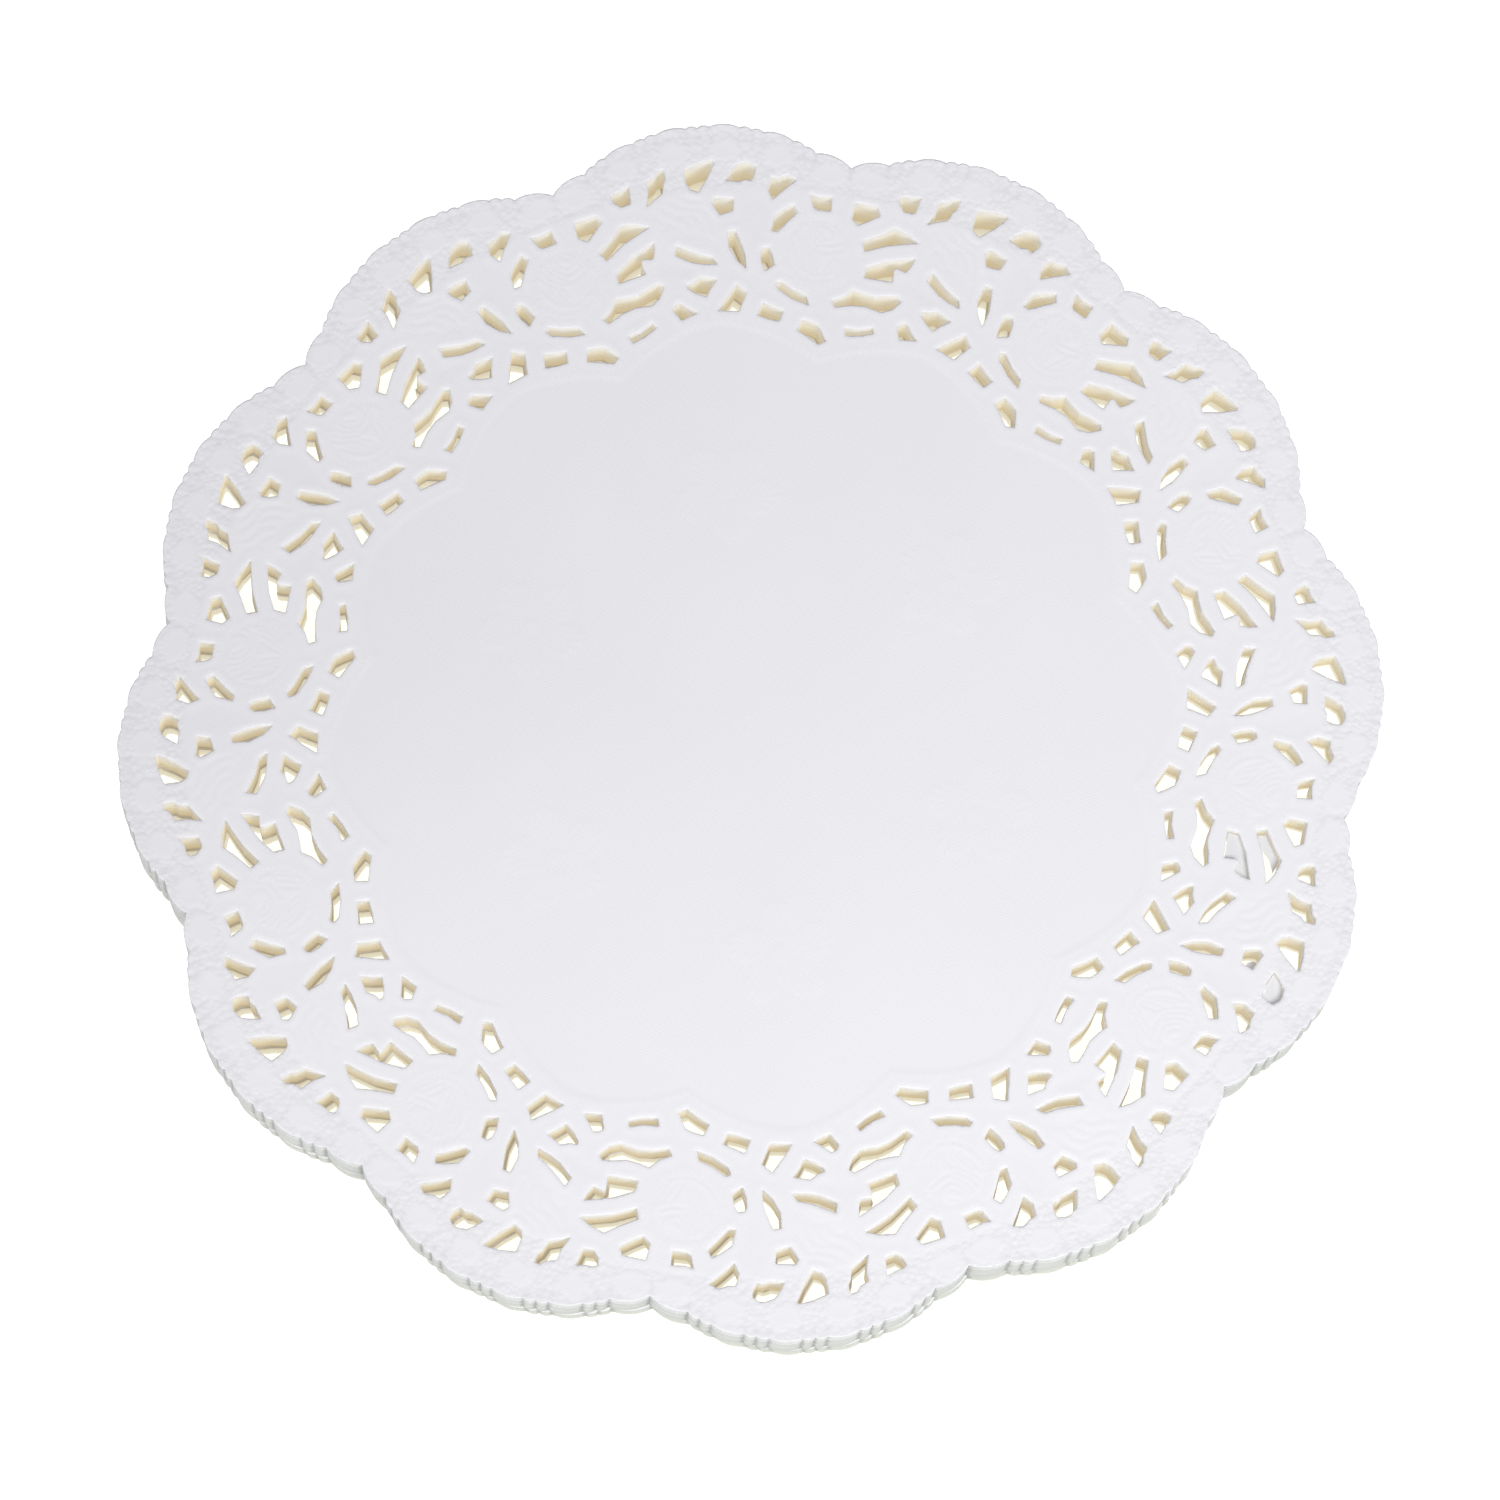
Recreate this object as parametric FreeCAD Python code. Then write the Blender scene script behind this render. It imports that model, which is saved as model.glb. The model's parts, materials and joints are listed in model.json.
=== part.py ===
# A loose pack of one hundred round paper lace doilies, lying flat on top of one another.
#
# Every doily is cut with the same die: twelve large scallops round the rim, each broken up by
# small ones, and a ring of 264 openings (the same twenty-two openings repeated twelve times).
# The pack stands in two blocks. The upper block leans a little and the lower one is turned
# under it, so a hair of the lower edge shows past the upper one here and there.
#
# The sixteen doilies on top are single sheets. Below them the sheets cling together in books
# of twelve, as they leave the cutting press, and each book is one solid.
#
# Frame: millimetres, +Z up, origin in the middle of the flat face the pack rests on, +Y
# towards one of the valleys between two large scallops.

import FreeCAD, Part
import math
import os

# ---- driving dimensions, in millimetres and degrees ----
VALLEY_RADIUS = 142.0      # centre of the sheet to the valley between two large scallops
SHEET = 0.12               # height one embossed sheet takes up in the pack
SINGLE_SHEETS = 16         # loose sheets on top, one node each
BOOK_SHEETS = 12           # sheets that cling together in one book
UPPER_BOOKS = 4            # books below the single sheets, in the upper block
LOWER_BOOKS = 3            # books in the lower block
SECTORS = 12               # repeats of the pattern round the sheet

UPPER_LEAN = (-0.1, -0.3)      # the upper block's lowest sheet against its top sheet
LOWER_SHIFT = (-0.1, -0.3)     # the lower block against the top sheet
LOWER_TURN = 0.3
PUNCH_TURN = 0.19              # the openings against the rim, counter-clockwise
STRAY_SHIFT = 0.12             # how far one layer strays from the line of its block
STRAY_TURN = 0.05

# The rim of one large scallop, from its middle to the valley: the angle of every notch, and how
# far the notch stands out beyond the valley, in hundredths of the valley radius.
RIM_NOTCHES = [
    (0.0, 6.3), (1.1, 6.4),
    (4.0, 6.0), (5.1, 5.6), (6.2, 5.2),
    (9.15, 3.8), (10.25, 3.0), (11.35, 2.0),
    (15.0, 0.0),
]
WIDE_ARC = 3.0                 # arcs with a longer chord than this (hundredths) are wide ones
WIDE_RISE = 0.5                # height of a wide arc over its chord, hundredths
SMALL_RISE = 0.28              # height of a small arc over its chord, hundredths

# The corners of the openings of one sector, in hundredths of the valley radius. The valley
# between two large scallops is straight up at (0, 100), and x runs clockwise round the sheet.
# The corners go clockwise round each opening.
RIM_OPENINGS = {
    "bean": [(-20.8, 94.3), (-19.7, 97.2), (-18.0, 98.1), (-16.1, 97.6), (-16.2, 95.0),
             (-18.3, 94.5)],
    "fin": [(-13.1, 96.1), (-10.3, 97.1), (-8.7, 96.4), (-12.2, 92.3), (-13.4, 94.0)],
    "wedge": [(-5.8, 94.4), (-2.1, 94.4), (-1.9, 91.9), (-4.5, 91.8)],
    "shield": [(2.1, 94.2), (6.0, 94.0), (6.7, 92.6), (3.1, 90.2), (1.8, 91.3)],
    "bucket": [(9.6, 96.4), (13.2, 96.9), (12.4, 93.9), (10.6, 93.9), (9.7, 95.1)],
    "feather": [(14.8, 92.4), (16.0, 94.8), (16.3, 96.8), (19.9, 97.7), (19.6, 95.9),
                (18.2, 93.7)],
    "sail": [(23.1, 96.3), (28.2, 96.4), (28.4, 95.7), (24.1, 91.7), (22.8, 92.6),
             (22.6, 93.8)],
}
MEDALLION_OPENINGS = {
    "hook": [(-8.4, 92.1), (-7.5, 90.9), (-10.4, 86.8), (-11.5, 86.8), (-11.3, 89.6)],
    "long_petal": [(4.4, 87.6), (9.5, 90.8), (12.0, 90.0), (13.9, 88.7), (8.7, 87.6),
                   (5.0, 85.9)],
    "stepped_petal": [(5.6, 81.3), (5.8, 83.1), (9.0, 84.7), (13.8, 86.0), (12.6, 83.3),
                      (10.8, 83.8), (10.6, 81.4)],
    "block": [(-12.6, 83.6), (-11.2, 83.9), (-9.9, 80.9), (-11.4, 79.6)],
    "slot": [(-8.4, 78.2), (-3.6, 76.4), (-2.9, 74.7), (-5.7, 75.3), (-8.6, 76.6)],
    "wave": [(0.8, 76.2), (4.2, 78.8), (12.6, 78.4), (9.5, 75.5), (6.7, 76.0), (1.5, 75.1)],
}
LEAF_OPENINGS = {
    "bud": [(-22.1, 91.0), (-18.8, 91.4), (-18.6, 89.2), (-20.7, 88.1), (-22.4, 90.0)],
    "leaf": [(-18.8, 85.4), (-17.5, 85.8), (-15.1, 82.1), (-14.6, 79.4), (-18.3, 82.6)],
    "leaf_slot": [(17.2, 84.1), (20.3, 81.3), (22.4, 80.0), (22.7, 78.5), (18.6, 80.3),
                  (16.4, 82.5)],
}
INNER_OPENINGS = {
    "kite": [(16.3, 76.9), (19.1, 77.4), (21.6, 76.0), (18.8, 73.7)],
    "tile": [(-18.2, 71.1), (-17.3, 73.3), (-15.8, 76.4), (-13.8, 75.2), (-14.6, 71.6)],
    "brick": [(-10.8, 74.0), (-7.0, 72.9), (-7.5, 70.9), (-11.4, 71.4)],
    "hood": [(-3.6, 72.1), (-0.7, 71.5), (1.1, 68.8), (-0.2, 68.0), (-2.1, 69.0),
             (-4.3, 70.0)],
    "bar": [(3.8, 71.7), (8.6, 72.6), (8.9, 71.5), (4.2, 70.3)],
    "drop": [(12.6, 73.5), (13.4, 74.2), (14.2, 74.3), (16.4, 71.5), (13.4, 71.2)],
}

HUNDREDTH = VALLEY_RADIUS / 100.0
SECTOR_ANGLE = 360.0 / SECTORS


def turned(point, clockwise):
    """A point of the plan, turned clockwise about the middle of the sheet."""
    angle = math.radians(-clockwise)
    return FreeCAD.Vector(
        point.x * math.cos(angle) - point.y * math.sin(angle),
        point.x * math.sin(angle) + point.y * math.cos(angle),
        0.0)


def rim_points():
    """The notches round the whole rim, clockwise from the valley at the top."""
    middle = SECTOR_ANGLE / 2
    scallop = [(middle - angle, rise) for angle, rise in reversed(RIM_NOTCHES)]
    scallop += [(middle + angle, rise) for angle, rise in RIM_NOTCHES[1:-1]]
    points = []
    for sector in range(SECTORS):
        for angle, rise in scallop:
            notch = FreeCAD.Vector(0.0, VALLEY_RADIUS + rise * HUNDREDTH, 0.0)
            points.append(turned(notch, SECTOR_ANGLE * sector + angle))
    return points


def rim():
    """The scalloped rim: one outward arc from every notch to the next."""
    points = rim_points()
    arcs = []
    for start, end in zip(points, points[1:] + points[:1]):
        middle = (start + end) * 0.5
        chord = (end - start).Length / HUNDREDTH
        rise = WIDE_RISE if chord > WIDE_ARC else SMALL_RISE
        outward = FreeCAD.Vector(middle).normalize()
        arcs.append(Part.Arc(start, middle + outward * rise * HUNDREDTH, end).toShape())
    return Part.Wire(arcs)


def opening(corners, clockwise):
    """One opening of the lace, closed from its last corner back to its first."""
    plan = [turned(FreeCAD.Vector(x, y, 0.0) * HUNDREDTH, clockwise) for x, y in corners]
    return Part.makePolygon(plan + plan[:1])


def lace_face():
    """The plan of one doily: the rim with all the openings left out."""
    wires = [rim()]
    for group in (RIM_OPENINGS, MEDALLION_OPENINGS, LEAF_OPENINGS, INNER_OPENINGS):
        for corners in group.values():
            for sector in range(SECTORS):
                wires.append(opening(corners, SECTOR_ANGLE * sector - PUNCH_TURN))
    return Part.Face(wires)


def layer(plan, sheets, bottom, shift, turn):
    """A sheet, or a book of sheets, standing on the level given and set over by a little."""
    solid = plan.extrude(FreeCAD.Vector(0.0, 0.0, SHEET * sheets))
    solid.rotate(FreeCAD.Vector(0.0, 0.0, 0.0), FreeCAD.Vector(0.0, 0.0, 1.0), turn)
    solid.translate(FreeCAD.Vector(shift[0], shift[1], bottom))
    return solid


def stray(index):
    """How one layer strays from its neighbours: a shift that wanders round, and a turn."""
    bearing = math.radians(137.5 * index)
    shift = (STRAY_SHIFT * math.cos(bearing), STRAY_SHIFT * math.sin(bearing))
    return shift, STRAY_TURN * math.sin(2.1 * index)


def pack():
    """All the nodes, from the bottom of the pack to the top."""
    plan = lace_face()
    layers = [("lower_book_%d" % (n + 1), BOOK_SHEETS) for n in range(LOWER_BOOKS)]
    layers += [("upper_book_%d" % (n + 1), BOOK_SHEETS) for n in range(UPPER_BOOKS)]
    layers += [("doily_%02d" % (n + 1), 1) for n in range(SINGLE_SHEETS)]
    pack_sheets = SINGLE_SHEETS + BOOK_SHEETS * (UPPER_BOOKS + LOWER_BOOKS)
    upper_sheets = SINGLE_SHEETS + BOOK_SHEETS * UPPER_BOOKS
    nodes = {}
    below = 0
    for index, (name, sheets) in enumerate(layers):
        (stray_x, stray_y), turn = stray(index)
        if name.startswith("lower"):
            block_x, block_y = LOWER_SHIFT
            turn += LOWER_TURN
        else:
            depth = (pack_sheets - below) / upper_sheets
            block_x, block_y = UPPER_LEAN[0] * depth, UPPER_LEAN[1] * depth
        shift = (block_x + stray_x, block_y + stray_y)
        nodes[name] = layer(plan, sheets, SHEET * below, shift, turn)
        below += sheets
    return nodes


os.makedirs("parts", exist_ok=True)
for node, shape in pack().items():
    shape.exportStep("parts/%s.step" % node)
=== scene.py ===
# A loose pack of one hundred round paper lace doilies, seen from high above on a white table.
#
# Every CAD node is a flat plate, so each one is replaced here by paper: a single sheet for each
# of the sixteen on top, and a book of twelve sheets with its layered edge for each of the seven
# below them. The pack is thinner in its plain middle than at the embossed border, and it waves a
# little, so all the levels follow one height field. The top sheet carries the embossing.

import json
import math
import random

import bpy
import numpy as np
from mathutils import Matrix, Vector
from mathutils.geometry import delaunay_2d_cdt
from mathutils.kdtree import KDTree


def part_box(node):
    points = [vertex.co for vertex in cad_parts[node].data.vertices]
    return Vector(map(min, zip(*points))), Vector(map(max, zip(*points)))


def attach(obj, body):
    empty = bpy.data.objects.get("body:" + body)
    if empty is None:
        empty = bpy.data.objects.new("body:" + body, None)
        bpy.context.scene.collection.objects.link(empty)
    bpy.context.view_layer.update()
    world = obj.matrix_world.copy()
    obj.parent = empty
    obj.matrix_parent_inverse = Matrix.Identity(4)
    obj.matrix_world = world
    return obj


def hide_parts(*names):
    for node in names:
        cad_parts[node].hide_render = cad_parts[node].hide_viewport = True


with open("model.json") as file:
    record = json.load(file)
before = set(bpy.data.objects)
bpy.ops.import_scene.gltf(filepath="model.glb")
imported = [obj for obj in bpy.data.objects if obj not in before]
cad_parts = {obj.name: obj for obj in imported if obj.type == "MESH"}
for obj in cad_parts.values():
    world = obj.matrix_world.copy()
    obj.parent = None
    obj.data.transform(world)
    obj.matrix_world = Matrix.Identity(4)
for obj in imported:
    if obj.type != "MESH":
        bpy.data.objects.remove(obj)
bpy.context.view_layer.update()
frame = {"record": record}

MM = 0.001

# ---------------------------------------------------------------------------------------------
# The plan of one sheet, in hundredths of the radius of the valleys between the large scallops.
# The valley of the sector is straight up at (0, 100), and x runs clockwise round the sheet.
# ---------------------------------------------------------------------------------------------
HUNDREDTH = 1.42                 # millimetres
SECTORS = 12
SECTOR_ANGLE = 360.0 / SECTORS
# The rim of one large scallop, from its middle to the valley: the angle of every notch, and how
# far the notch stands out beyond the valley.
RIM_NOTCHES = [
    (0.0, 6.1), (1.1, 6.2),
    (4.0, 5.8), (5.1, 5.4), (6.2, 5.0),
    (9.15, 3.6), (10.25, 2.8), (11.35, 1.8),
    (15.0, 0.0),
]
WIDE_ARC = 3.5                   # arcs with a longer chord than this are wide ones
WIDE_RISE, VALLEY_RISE, SMALL_RISE = 0.55, 0.75, 0.34
CORNER = 0.16                    # how far a corner of an opening is rounded
PUNCH_TURN = -0.19               # the openings against the rim, in degrees clockwise

OPENINGS = {
    "bean": [(-20.8, 94.3), (-20.2, 96.0), (-19.6, 97.2), (-18.2, 98.0), (-17.3, 98.1),
             (-16.1, 97.6), (-15.9, 96.5), (-16.3, 95.0), (-17.3, 95.1), (-18.3, 94.5)],
    "fin": [(-13.0, 96.1), (-11.8, 96.3), (-10.3, 97.1), (-8.7, 96.4), (-10.6, 94.3),
            (-12.2, 92.3), (-13.3, 94.0)],
    "wedge": [(-5.8, 94.4), (-4.4, 94.1), (-2.1, 94.4), (-1.9, 91.9), (-4.4, 91.8), (-5.1, 92.3)],
    "shield": [(2.1, 94.2), (6.0, 94.0), (6.7, 92.6), (4.7, 91.2), (3.1, 90.2), (1.8, 91.3)],
    "bucket": [(9.6, 96.3), (10.4, 96.7), (11.4, 96.6), (13.2, 96.9), (12.4, 93.9), (10.6, 93.9),
               (9.7, 95.1)],
    "feather": [(14.8, 92.4), (16.0, 94.8), (16.3, 96.6), (18.0, 97.0), (18.8, 97.7),
                (19.9, 97.6), (19.6, 95.9), (18.9, 95.3), (18.2, 93.7), (16.5, 93.1)],
    "sail": [(23.1, 96.3), (25.9, 96.5), (28.3, 96.2), (28.4, 95.7), (26.3, 93.5), (24.1, 91.7),
             (22.9, 92.6), (22.6, 93.8)],
    "bud": [(-22.1, 91.0), (-20.6, 91.2), (-18.8, 91.4), (-18.6, 89.2), (-20.7, 88.1),
            (-21.7, 89.1), (-22.4, 90.1)],
    "hook": [(-8.4, 92.1), (-7.5, 90.9), (-8.9, 89.0), (-10.4, 86.8), (-11.5, 86.8),
             (-11.3, 89.6), (-9.8, 91.1)],
    "long_petal": [(4.4, 87.6), (7.4, 89.3), (9.5, 90.8), (12.0, 90.0), (13.9, 88.8),
                   (11.7, 88.3), (8.7, 87.5), (5.0, 85.8)],
    "stepped_petal": [(5.6, 81.2), (5.8, 83.1), (9.0, 84.7), (13.8, 86.0), (13.4, 84.6),
                      (12.6, 83.3), (10.8, 83.8), (10.5, 83.3), (10.6, 81.2)],
    "block": [(-12.4, 83.6), (-11.4, 83.9), (-10.7, 83.0), (-9.9, 80.9), (-11.4, 79.5),
              (-12.3, 81.2), (-12.7, 82.8)],
    "leaf": [(-18.8, 85.4), (-17.5, 85.8), (-16.1, 83.6), (-15.3, 82.1), (-14.6, 79.4),
             (-16.5, 80.6), (-18.2, 82.7)],
    "leaf_slot": [(17.2, 84.1), (18.7, 82.7), (20.3, 81.3), (22.4, 80.0), (22.7, 78.5),
                  (20.5, 79.3), (18.7, 80.3), (16.4, 82.5)],
    "slot": [(-9.2, 77.7), (-8.4, 78.2), (-6.2, 77.1), (-3.6, 76.3), (-2.9, 74.7), (-5.7, 75.3),
             (-8.5, 76.6)],
    "wave": [(0.8, 76.2), (2.7, 77.2), (4.2, 78.8), (5.7, 78.4), (8.0, 78.1), (10.1, 78.6),
             (12.0, 78.8), (12.7, 78.0), (11.3, 76.3), (9.5, 75.5), (6.7, 76.1), (4.3, 75.9),
             (1.5, 75.1)],
    "kite": [(16.4, 76.9), (17.7, 76.9), (19.1, 77.4), (21.6, 76.0), (20.0, 74.8), (18.8, 73.7),
             (17.4, 74.9), (16.4, 76.2)],
    "tile": [(-18.2, 71.1), (-17.3, 73.3), (-15.8, 76.4), (-13.8, 75.2), (-14.6, 71.6)],
    "brick": [(-10.8, 73.9), (-9.0, 73.4), (-7.0, 72.9), (-7.5, 71.0), (-9.5, 71.1),
              (-11.4, 71.5)],
    "hood": [(-3.6, 72.0), (-1.9, 71.8), (-0.7, 71.4), (0.2, 70.2), (1.1, 68.8), (-0.2, 68.0),
             (-2.1, 69.0), (-4.3, 70.0)],
    "bar": [(3.8, 71.7), (6.2, 71.8), (8.6, 72.6), (8.9, 71.5), (6.6, 70.7), (4.2, 70.3)],
    "drop": [(12.6, 73.5), (13.3, 74.2), (14.2, 74.3), (15.4, 72.8), (16.4, 71.5), (13.4, 71.2)],
}

# ---------------------------------------------------------------------------------------------
# How the pack lies, in millimetres and degrees.
# ---------------------------------------------------------------------------------------------
MIDDLE_HEIGHT = 11.8             # the pack's height in its plain middle
CAD_HEIGHT = 12.0                # the height of the flat CAD model
LOWER_SHARE = 0.36               # how much of the height is the lower block, 36 sheets of 100
LOWER_TURN = 0.3                 # the lower block against the upper one, counter-clockwise
LEAN = np.array([-0.3, 0.0])     # the upper block's foot, and all the lower one, off the top
# The rest is in shares of the radius of the valleys.
SAG = 0.0927                     # how fast the border rises from the plain middle
SAG_FROM = 0.6                   # where it starts to
# Waves that run round the pack: (times round, cosine part, sine part), at the valleys.
WAVES = [(2, -0.0135, 0.0114), (3, -0.0158, 0.0018), (4, 0.0039, -0.0005),
         (5, -0.0008, 0.0014)]


# ---------------------------------------------------------------------------------------------
# The plan
# ---------------------------------------------------------------------------------------------
def clockwise(points, degrees):
    """Plan points turned clockwise about the middle of the sheet."""
    a = math.radians(degrees)
    c, s = math.cos(a), math.sin(a)
    return np.stack([points[:, 0] * c + points[:, 1] * s,
                     -points[:, 0] * s + points[:, 1] * c], axis=1)


def arc(start, end, rise, steps):
    """Points from start up to, but not at, end, on an arc that bulges away from the middle."""
    chord = end - start
    length = np.hypot(*chord)
    out = np.array([-chord[1], chord[0]]) / length
    if out @ (start + end) < 0:
        out = -out
    radius = (length * length / 4 + rise * rise) / (2 * rise)
    centre = (start + end) / 2 + out * (rise - radius)
    first = math.atan2(*(start - centre)[::-1])
    last = math.atan2(*(end - centre)[::-1])
    sweep = (last - first + math.pi) % (2 * math.pi) - math.pi
    angles = first + sweep * np.arange(steps) / steps
    return centre + radius * np.stack([np.cos(angles), np.sin(angles)], axis=1)


def notch_points():
    """All the notches of the rim, clockwise from the valley at the top, in hundredths."""
    middle = SECTOR_ANGLE / 2
    scallop = [(middle - a, rise) for a, rise in reversed(RIM_NOTCHES)]
    scallop += [(middle + a, rise) for a, rise in RIM_NOTCHES[1:-1]]
    return np.array([clockwise(np.array([[0.0, 100.0 + rise]]), SECTOR_ANGLE * sector + a)[0]
                     for sector in range(SECTORS) for a, rise in scallop])


def rim_loop(steps):
    """The whole scalloped rim, clockwise from the valley at the top, in millimetres."""
    notches = notch_points()
    in_sector = len(notches) // SECTORS
    parts = []
    for i, start in enumerate(notches):
        end = notches[(i + 1) % len(notches)]
        wide = np.hypot(*(end - start)) > WIDE_ARC
        beside_valley = i % in_sector in (0, in_sector - 1)
        rise = (VALLEY_RISE if beside_valley else WIDE_RISE) if wide else SMALL_RISE
        parts.append(arc(start, end, rise, 2 * steps if wide else steps))
    return np.concatenate(parts) * HUNDREDTH


def opening_loop(corners, steps):
    """One opening with its corners rounded, clockwise, in millimetres."""
    at = np.array(corners, float)
    ends = []
    for i, corner in enumerate(at):
        for other in (at[i - 1], at[(i + 1) % len(at)]):
            length = np.hypot(*(other - corner))
            ends.append(corner + (other - corner) / length * min(CORNER, 0.45 * length))
    parts = []
    for i, corner in enumerate(at):
        before, after = ends[2 * i], ends[2 * i + 1]
        for t in np.arange(steps) / (steps - 1):
            parts.append((1 - t) ** 2 * before + 2 * t * (1 - t) * corner + t * t * after)
    return np.array(parts) * HUNDREDTH


def spaced(loop, spacing):
    """The loop with points added along its longer edges, no further apart than the spacing."""
    parts = []
    for start, end in zip(loop, np.roll(loop, -1, axis=0)):
        count = max(1, math.ceil(np.hypot(*(end - start)) / spacing))
        parts.append(start + (end - start) * (np.arange(count) / count)[:, None])
    return np.concatenate(parts)


def lace_loops(rim_steps, corner_steps, spacing):
    """The rim and all the openings; the rim comes first."""
    loops = [rim_loop(rim_steps)]
    for corners in OPENINGS.values():
        one = spaced(opening_loop(corners, corner_steps), spacing)
        loops += [clockwise(one, SECTOR_ANGLE * sector + PUNCH_TURN) for sector in range(SECTORS)]
    return loops


def inside(points, loop):
    """Which points lie inside the loop."""
    result = np.zeros(len(points), bool)
    x, y = points[:, 0], points[:, 1]
    for (ax, ay), (bx, by) in zip(loop, np.roll(loop, -1, axis=0)):
        if ay != by:
            crosses = (ay > y) != (by > y)
            result ^= crosses & (x < (bx - ax) * (y - ay) / (by - ay) + ax)
    return result


def hexagons(spacing, reach):
    """Points of a regular net out to a radius."""
    row = spacing * math.sqrt(0.75)
    rows, count = int(reach / row) + 1, int(reach / spacing) + 1
    xs = np.arange(-count, count + 1) * spacing
    points = np.concatenate([np.stack([xs + 0.5 * spacing * (j % 2), np.full(len(xs), j * row)], 1)
                             for j in range(-rows, rows + 1)])
    return points[np.hypot(points[:, 0], points[:, 1]) < reach]


def tree_of(points):
    tree = KDTree(len(points))
    for i, (x, y) in enumerate(points):
        tree.insert((x, y, 0.0), i)
    tree.balance()
    return tree


def near(tree, points):
    """The distance from each point to the nearest point in the tree."""
    return np.array([tree.find((x, y, 0.0))[2] for x, y in points])


def edge_normals(loop, is_opening):
    """Unit vectors from the paper out into the open, for every point of a clockwise loop."""
    along = np.roll(loop, -1, axis=0) - np.roll(loop, 1, axis=0)
    along /= np.maximum(np.hypot(along[:, 0], along[:, 1])[:, None], 1e-9)
    away = np.stack([-along[:, 1], along[:, 0]], axis=1)
    return -away if is_opening else away


# The outline in fine steps, to measure distances from.
OUTLINE = lace_loops(8, 3, 0.35)
RIM_TREE = tree_of(OUTLINE[0])
HOLE_TREE = tree_of(np.concatenate(OUTLINE[1:]))


NEAR_RIM = 99                    # hundredths; nothing nearer the middle can be beyond the rim
MERGE = 1e-6                     # millimetres; closer points are one
WHOLE_HULL = 0                   # the triangulation's kind of output; cut_out trims it


class Plan:
    """A flat triangle mesh of the sheet: its loops first, then the points between them."""

    def __init__(self, loops, between, clear):
        self.loops = loops
        self.starts = np.cumsum([0] + [len(loop) for loop in loops])
        self.edge_count = int(self.starts[-1])
        between = self.on_paper(between, clear)
        self.points = np.concatenate(loops + [between])
        edges = []
        for first, last in zip(self.starts, self.starts[1:]):
            edges += [(i, i + 1) for i in range(first, last - 1)] + [(last - 1, first)]
        _, _, faces, origin, _, _ = delaunay_2d_cdt(
            [Vector(p) for p in self.points], edges, [], WHOLE_HULL, MERGE, True)
        index = np.array([o[0] if o else -1 for o in origin])
        self.triangles = self.cut_out(index[np.array(faces)])

    def on_paper(self, points, clear):
        """The points that lie on the paper, further from every edge than is asked."""
        points = points[(near(RIM_TREE, points) > clear) & (near(HOLE_TREE, points) > clear)]
        radius = np.hypot(points[:, 0], points[:, 1])
        off = np.zeros(len(points), bool)
        for loop in self.loops[1:]:
            boxed = np.flatnonzero(((points > loop.min(0)) & (points < loop.max(0))).all(axis=1))
            off[boxed[inside(points[boxed], loop)]] = True
        outer = np.flatnonzero(radius > NEAR_RIM * HUNDREDTH)
        off[outer[~inside(points[outer], self.loops[0])]] = True
        return points[~off]

    def cut_out(self, triangles):
        """Drops the triangles in an opening or beyond the rim, and turns the rest up."""
        loop = np.full(len(self.points), -1)
        for i, (first, last) in enumerate(zip(self.starts, self.starts[1:])):
            loop[first:last] = i
        owner = loop[triangles]
        same = (owner[:, 0] == owner[:, 1]) & (owner[:, 1] == owner[:, 2]) & (owner[:, 0] >= 0)
        keep = np.ones(len(triangles), bool)
        centre = self.points[triangles].mean(axis=1)
        for i, outline in enumerate(self.loops):
            mine = np.flatnonzero(same & (owner[:, 0] == i))
            if len(mine):
                within = inside(centre[mine], outline)
                keep[mine] = within if i == 0 else ~within
        triangles = triangles[keep]
        a, b, c = (self.points[triangles[:, k]] for k in range(3))
        up = np.cross(b - a, c - a) > 0
        triangles[~up] = triangles[~up][:, ::-1]
        return triangles


def set_back(loops, distance):
    """Points set back from the edge of every loop, so that the paper can bend along it."""
    found = []
    clear = 0.8 * distance       # in a tight corner a point can land too near another edge
    for number, loop in enumerate(loops):
        points = loop - edge_normals(loop, number > 0) * distance
        far = (near(RIM_TREE, points) > clear) & (near(HOLE_TREE, points) > clear)
        found.append(points[far])
    return np.concatenate(found)


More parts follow.
